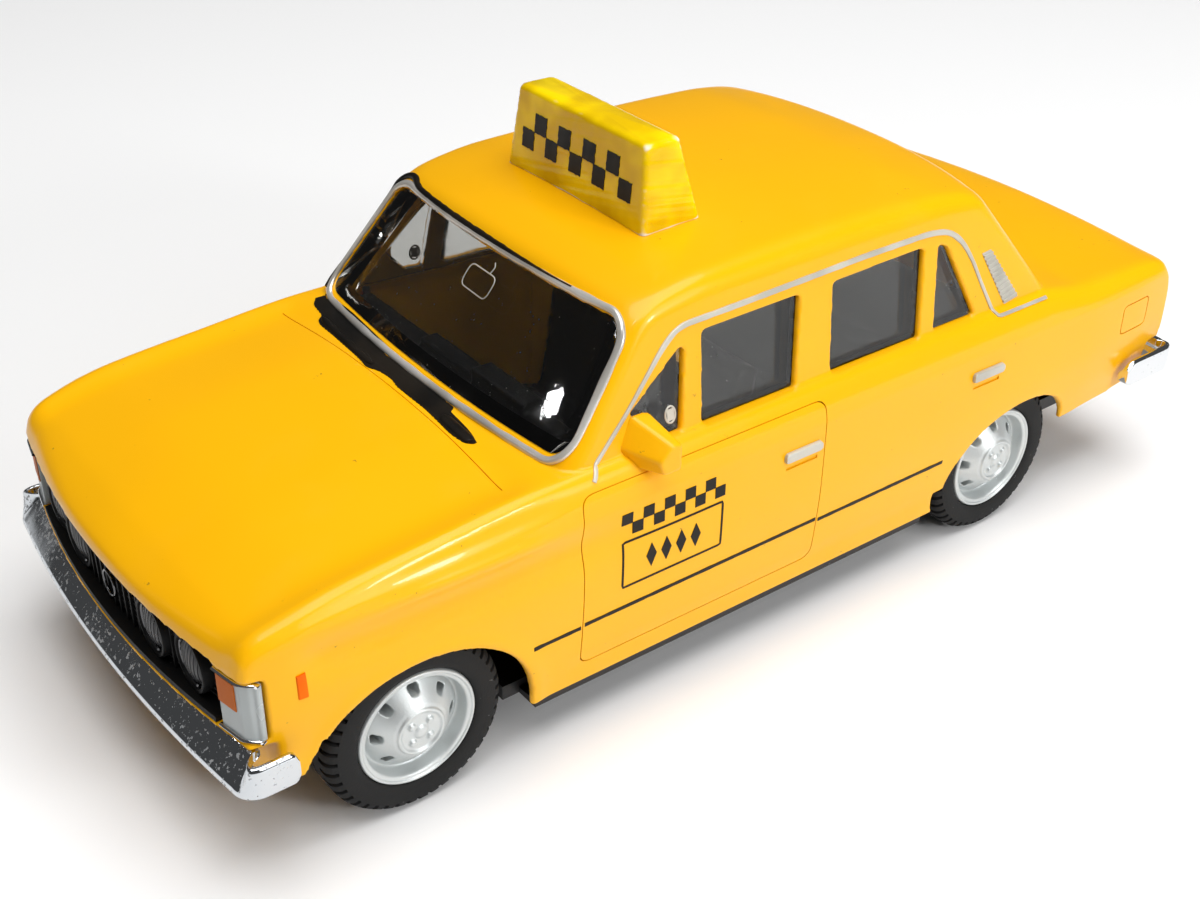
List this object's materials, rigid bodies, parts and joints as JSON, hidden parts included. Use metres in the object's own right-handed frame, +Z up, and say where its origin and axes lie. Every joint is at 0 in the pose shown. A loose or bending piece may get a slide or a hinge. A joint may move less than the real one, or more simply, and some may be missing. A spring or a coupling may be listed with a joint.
{
  "type": "die-cast toy taxi",
  "caption": "Small die-cast toy saloon taxi with opening front doors, rolling wheels, a wind-up gear train on the rear axle, a clear cabin moulding and a roof sign.",
  "frame": {"origin": "on the ground, midway between the front and rear of the bumpers and between the car's sides", "axes": "+X forward, +Y to the car's left, +Z up; the tyres stand on Z = 0"},
  "size_m": [0.112, 0.0474, 0.046],
  "materials": {
    "paint": "gloss yellow paint on a zinc casting",
    "clear": "clear smoky moulding",
    "black_plastic": "fine satin",
    "rim_silver": "silver-coated plastic",
    "tyre": "matt black rubber",
    "steel": "drawn wire",
    "chrome": "vacuum-plated plastic, a little dusty",
    "lamp_clear": "silvered lens",
    "lamp_orange": "orange painted lens with a clear foot",
    "lamp_red": "red lens",
    "sign": "thick hand-brushed lemon paint",
    "nylon": "natural nylon"
  },
  "bodies": {
    "car": {"body_shell": "paint", "left_mirror": "paint", "right_mirror": "paint", "glazing": "clear", "interior_tub": "black_plastic", "steering_wheel": "black_plastic", "chassis_base": "black_plastic", "front_axle_keeper": "black_plastic", "grille": "black_plastic", "left_hinge_pin": "steel", "right_hinge_pin": "steel", "front_screw": "steel", "rear_screw": "steel", "front_bumper": "chrome", "rear_bumper": "chrome", "left_outer_headlamp": "lamp_clear", "left_inner_headlamp": "lamp_clear", "right_inner_headlamp": "lamp_clear", "right_outer_headlamp": "lamp_clear", "left_corner_lamp": "lamp_orange", "right_corner_lamp": "lamp_orange", "left_tail_lamp": "lamp_red", "right_tail_lamp": "lamp_red", "roof_sign": "sign", "motor_case": "nylon", "motor_cover": "nylon"},
    "front_wheels": {"front_axle": "steel", "front_left_rim": "rim_silver", "front_right_rim": "rim_silver", "front_left_tyre": "tyre", "front_right_tyre": "tyre"},
    "rear_wheels": {"rear_axle": "steel", "rear_left_rim": "rim_silver", "rear_right_rim": "rim_silver", "rear_left_tyre": "tyre", "rear_right_tyre": "tyre", "axle_pinion": "nylon"},
    "winding": {"winding_gear": "nylon", "spring_drum": "nylon", "winding_shaft": "steel"},
    "left_door": {"left_door": "paint"},
    "right_door": {"right_door": "paint"}
  },
  "joints": [
    {"name": "left_door_swing", "type": "hinge", "parent": "car", "child": "left_door", "pos_m": [0.01735, 0.0199, 0.015], "axis": [0, 0, -1], "range_deg": [0, 55]},
    {"name": "right_door_swing", "type": "hinge", "parent": "car", "child": "right_door", "pos_m": [0.01735, -0.0199, 0.015], "axis": [0, 0, 1], "range_deg": [0, 55]},
    {"name": "front_axle_spin", "type": "hinge", "parent": "car", "child": "front_wheels", "pos_m": [0.0387, 0, 0.00813], "axis": [0, 1, 0], "continuous": true},
    {"name": "rear_axle_spin", "type": "hinge", "parent": "car", "child": "rear_wheels", "pos_m": [-0.029, 0, 0.00813], "axis": [0, 1, 0], "continuous": true},
    {"name": "winding_turn", "type": "hinge", "parent": "car", "child": "winding", "pos_m": [-0.0244, 0, 0.01199], "axis": [0, 1, 0], "continuous": true}
  ],
  "couplings": [
    {"joint": "winding_turn", "follows": "rear_axle_spin", "ratio": -0.5}
  ]
}
